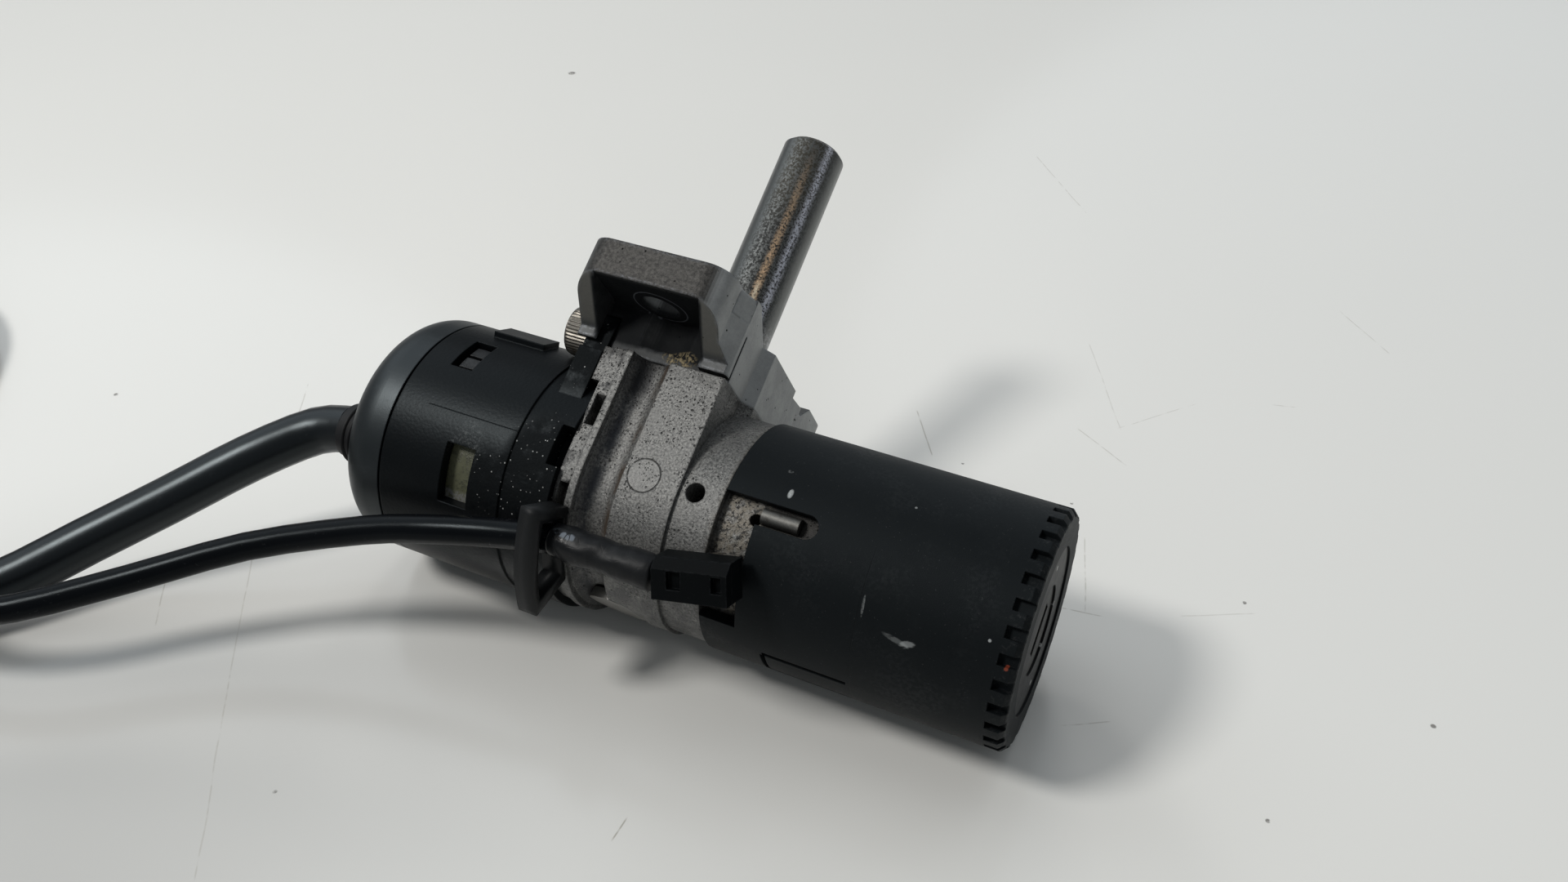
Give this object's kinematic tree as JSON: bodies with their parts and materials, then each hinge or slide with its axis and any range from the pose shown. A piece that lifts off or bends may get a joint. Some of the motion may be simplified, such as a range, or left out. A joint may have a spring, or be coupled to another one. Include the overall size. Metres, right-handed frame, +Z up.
{
  "type": "ignition switch",
  "caption": "Steering-lock ignition switch: key cylinder in a notched plastic sleeve, die-cast housing, bracket with mounting ears, sliding lock bolt, rotary switch and cables.",
  "frame": {"origin": "on the table under the middle of the object's box, cables and their plugs left out", "axes": "+X along the lock to the key face, +Y the way the lock bolt leans, +Z up from the table"},
  "size_m": [0.341, 0.1487, 0.0658],
  "materials": {
    "sleeve_plastic": "matt, scuffed",
    "disc_paint": "satin, printed marks",
    "zinc": "die-cast zinc, stained",
    "bracket_zinc": "die-cast zinc, dull and dark",
    "steel": "plain",
    "spring_steel": "drawn wire",
    "bolt_steel": "mottled brown and blue oxide",
    "screw_steel": "plated, worn",
    "brass": "stamped",
    "switch_plastic": "grained, oily in places",
    "cap_plastic": "satin",
    "insert_plastic": "yellowed",
    "rotor_plastic": "natural",
    "rubber": "soft",
    "micro_plastic": "matt",
    "plunger_plastic": "matt",
    "shrink": "shrunk, glossy and cracked",
    "cable_jacket": "satin",
    "tie_plastic": "plain",
    "plug_plastic": "plain"
  },
  "bodies": {
    "base": {"front_sleeve": "sleeve_plastic", "face_disc": "disc_paint", "lock_barrel": "zinc", "latch_spring": "spring_steel", "lock_housing": "zinc", "bolt_cover": "steel", "bolt_spring": "spring_steel", "mounting_bracket": "bracket_zinc", "bracket_screws": "steel", "switch_housing": "switch_plastic", "switch_screw": "screw_steel", "contact_carrier": "insert_plastic", "terminals": "brass", "rear_cap": "cap_plastic", "cable_gland": "rubber", "cable_clip": "sleeve_plastic", "micro_case": "micro_plastic", "micro_cover": "micro_plastic", "micro_pins": "steel", "cable_boot": "shrink", "main_cable": "cable_jacket", "main_coil": "cable_jacket", "main_tie": "tie_plastic", "main_plug": "plug_plastic", "sense_cable": "cable_jacket", "sense_coil": "cable_jacket", "sense_tie": "tie_plastic", "sense_plug": "plug_plastic"},
    "key_rotor": {"key_plug": "steel", "tumblers": "brass", "drive_shaft": "steel", "switch_rotor": "rotor_plastic", "contact_bridges": "brass"},
    "bolt": {"lock_bolt": "bolt_steel", "bolt_slide": "steel"},
    "latch": {"latch_pin": "steel"},
    "plunger": {"micro_plunger": "plunger_plastic"}
  },
  "joints": [
    {"name": "key_turn", "type": "hinge", "parent": "base", "child": "key_rotor", "pos_m": [0.06158, -0.0181, 0.01998], "axis": [-0.9998, 0, 0.0179], "range_deg": [0, 120]},
    {"name": "bolt_slide", "type": "slide", "parent": "base", "child": "bolt", "axis": [0.0095, 0.848, 0.5298], "range_m": [-0.008, 0], "deforming": ["bolt_spring"]},
    {"name": "latch_press", "type": "slide", "parent": "base", "child": "latch", "axis": [0.0152, -0.5299, 0.8479], "range_m": [-0.0019, 0], "stiffness_N_per_m": 300, "deforming": ["latch_spring"]},
    {"name": "plunger_press", "type": "slide", "parent": "base", "child": "plunger", "axis": [0.0078, -0.8988, 0.4383], "range_m": [0, 0.0008], "stiffness_N_per_m": 400}
  ],
  "couplings": [
    {"joint": "key_turn", "follows": "bolt_slide", "rad_per_m": -261.8}
  ]
}
